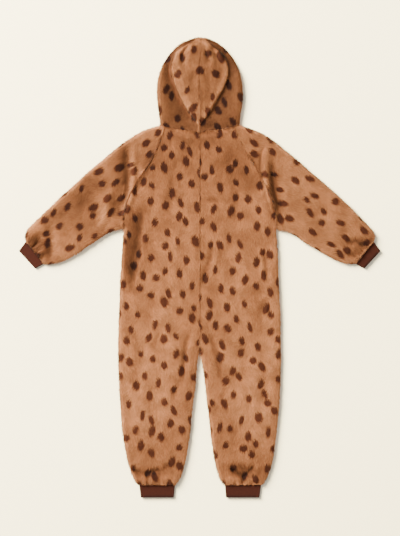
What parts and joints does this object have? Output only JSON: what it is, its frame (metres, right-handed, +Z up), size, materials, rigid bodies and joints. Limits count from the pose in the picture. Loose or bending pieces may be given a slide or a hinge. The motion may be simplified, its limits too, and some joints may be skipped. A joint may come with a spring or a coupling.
{
  "type": "hooded plush onesie",
  "caption": "Child's spotted plush onesie with hood, raglan sleeves and rib cuffs, laid flat face down on a surface.",
  "frame": {"origin": "middle of the underside's bounding box, on the surface it lies on", "axes": "+Z up from the surface, +Y from the ankles to the hood, +X to the right seen from above with the back up"},
  "size_m": [0.8694, 1.1032, 0.0223],
  "materials": {
    "plush": "short fawn pile with soft dark brown spots",
    "rib_knit": "dark brown rib knit, matte",
    "zip_tape": "woven brown tape, matte",
    "zip_metal": "dull cast metal"
  },
  "bodies": {
    "root": {"back_left": "plush", "back_right": "plush", "front_left": "plush", "front_right": "plush", "sleeve_left": "plush", "sleeve_right": "plush", "hood_left": "plush", "hood_right": "plush", "wrist_cuff_left": "rib_knit", "wrist_cuff_right": "rib_knit", "ankle_cuff_left": "rib_knit", "ankle_cuff_right": "rib_knit", "zip_tape": "zip_tape", "zip_pull_ribbon": "zip_tape", "zip_slider": "zip_metal"}
  },
  "joints": []
}
